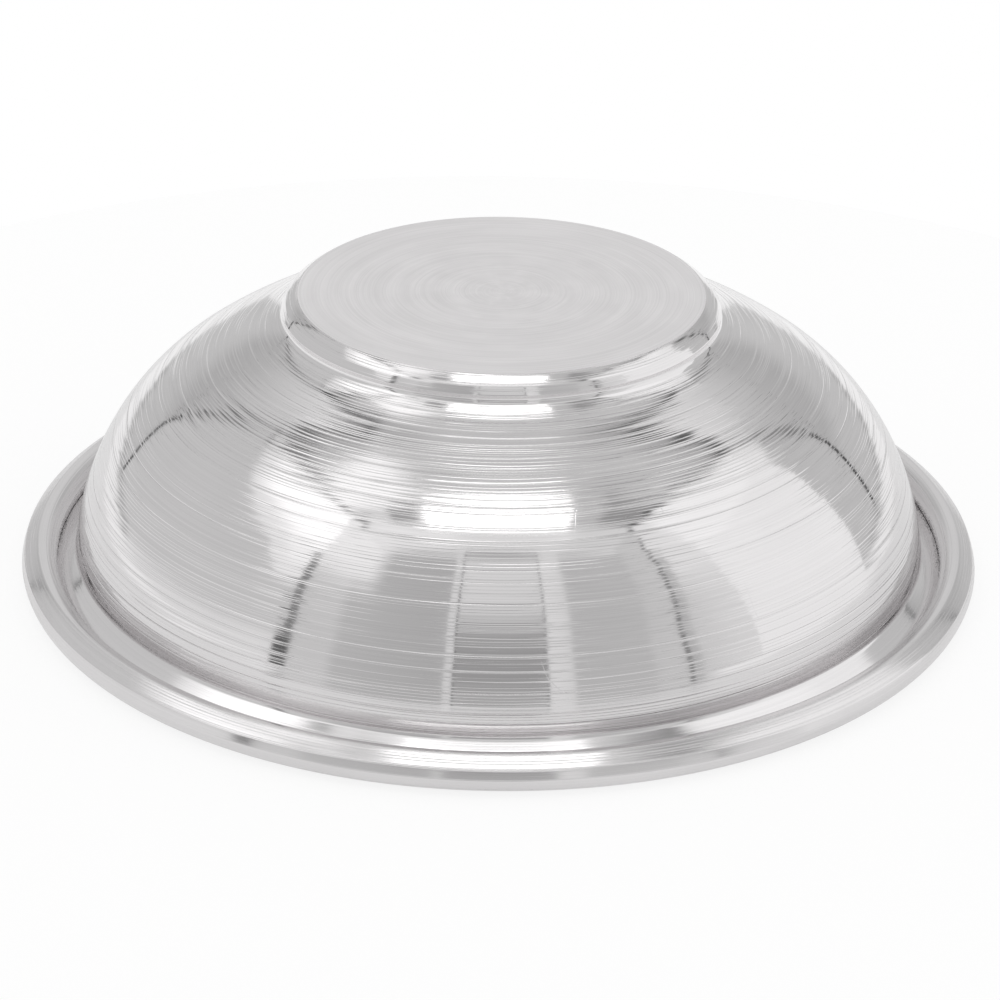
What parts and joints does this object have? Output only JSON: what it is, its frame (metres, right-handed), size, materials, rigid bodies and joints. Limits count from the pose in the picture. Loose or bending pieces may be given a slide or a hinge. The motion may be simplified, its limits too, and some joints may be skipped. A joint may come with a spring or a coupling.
{
  "type": "offering bowl",
  "caption": "Round spun steel bowl with a raised flat foot, curved wall and rod-filled rolled rim, stored mouth down; holds offerings, food or water.",
  "frame": {"origin": "centre of the circle that the rolled rim stands on, with the bowl mouth down as pictured", "axes": "+Z along the bowl's axis from the rim to the foot; the bowl is round, so +X and +Y are free, and -Y faces the camera"},
  "size_m": [0.3, 0.3, 0.0902],
  "materials": {
    "polished_shell": "lathe polished, foot flat satin",
    "rim_rod": "drawn"
  },
  "bodies": {
    "root": {"bowl_shell": "polished_shell", "rim_rod": "rim_rod"}
  },
  "joints": []
}
